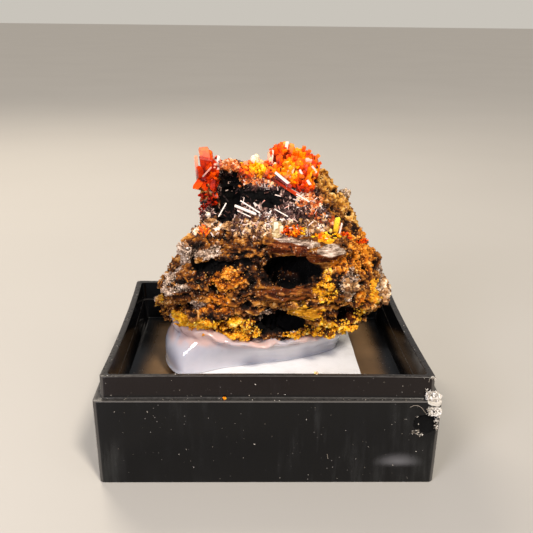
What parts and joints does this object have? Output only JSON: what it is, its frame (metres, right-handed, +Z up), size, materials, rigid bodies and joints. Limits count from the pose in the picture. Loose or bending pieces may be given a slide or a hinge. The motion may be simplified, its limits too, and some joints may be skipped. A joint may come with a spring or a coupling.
{
  "type": "crocoite on matrix mineral specimen in a thumbnail box base",
  "caption": "Small mineral specimen, red-orange crocoite crystals on brown limonite matrix, held by white putty on a pad in a black square box base.",
  "frame": {"origin": "middle of the box base's foot, on the table", "axes": "+Z up, -Y towards the specimen's display side, +X to the viewer's right"},
  "size_m": [0.0318, 0.0318, 0.0297],
  "materials": {
    "black_plastic": "glossy moulded black polystyrene, dusty, one crushed corner",
    "white_pad": "flat bright white sheet",
    "putty": "smooth, slightly glossy and translucent mounting putty",
    "limonite": "rough ochre to dark brown rock with grey-pink druse",
    "crocoite_red": "adamantine red-orange crystal",
    "crocoite_orange": "adamantine orange to yellow crystal",
    "crocoite_yellow": "bright yellow crystal"
  },
  "bodies": {
    "root": {"tray": "black_plastic", "mount_pad": "white_pad", "putty": "putty", "matrix": "limonite", "crocoite_left": "crocoite_red", "crocoite_column": "crocoite_red", "crocoite_crest": "crocoite_orange", "crocoite_main": "crocoite_orange", "crocoite_shelf": "crocoite_orange", "crocoite_tablet": "crocoite_yellow", "crocoite_right": "crocoite_red", "crocoite_fan": "crocoite_orange"}
  },
  "joints": []
}
